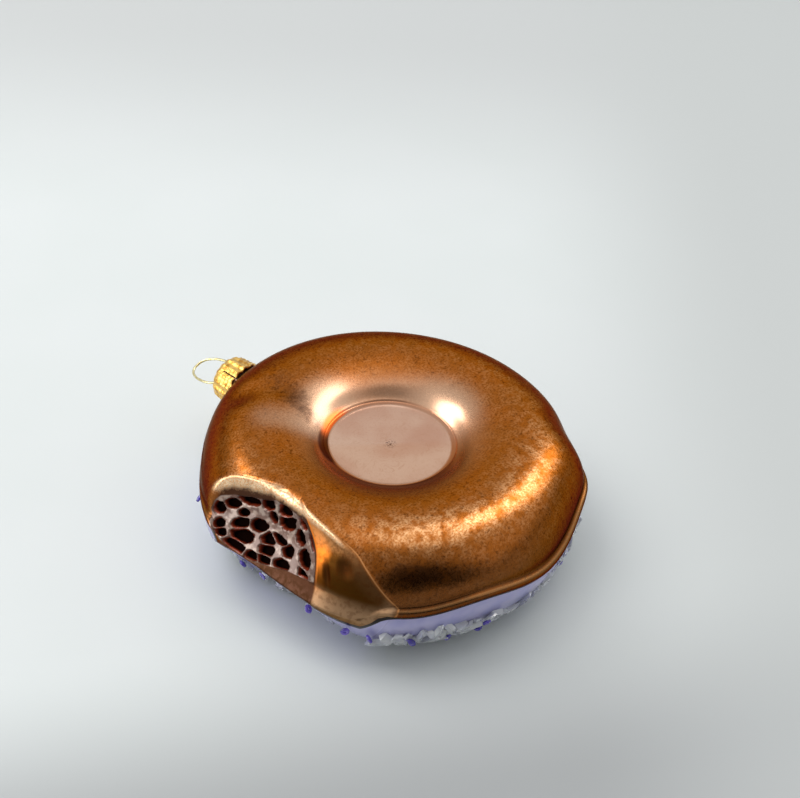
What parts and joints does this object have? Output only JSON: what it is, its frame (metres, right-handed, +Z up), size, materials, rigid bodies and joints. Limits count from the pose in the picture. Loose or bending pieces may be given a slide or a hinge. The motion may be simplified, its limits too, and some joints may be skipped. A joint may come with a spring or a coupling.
{
  "type": "glass doughnut ornament",
  "caption": "Hollow blown-glass hanging ornament shaped as an iced doughnut with a bite out, a pleated metal cap and a wire hanging loop.",
  "frame": {"origin": "on the surface the ornament lies on, under the middle of the whole with its cap and loop", "axes": "+Z up out of the plain dough side, as it lies icing down; +Y from the doughnut's middle out through the cap and the hanging loop; the bite is on the -X side"},
  "size_m": [0.0928, 0.1172, 0.0343],
  "materials": {
    "dough_lacquer": "satin copper-brown lacquer over silvered glass, mottled darker, with a pinkish disc in the hole",
    "icing_lacquer": "smooth glossy lavender lacquer",
    "crystals": "clear broken glass lumps, glued on",
    "beads": "glossy violet-blue glass seed beads",
    "cap": "bright gold-coloured pressed sheet, pleated",
    "wire": "pale gold-coloured spring wire"
  },
  "bodies": {
    "root": {"glass_doughnut": "dough_lacquer", "cap": "cap", "hanger_loop": "wire"}
  },
  "joints": []
}
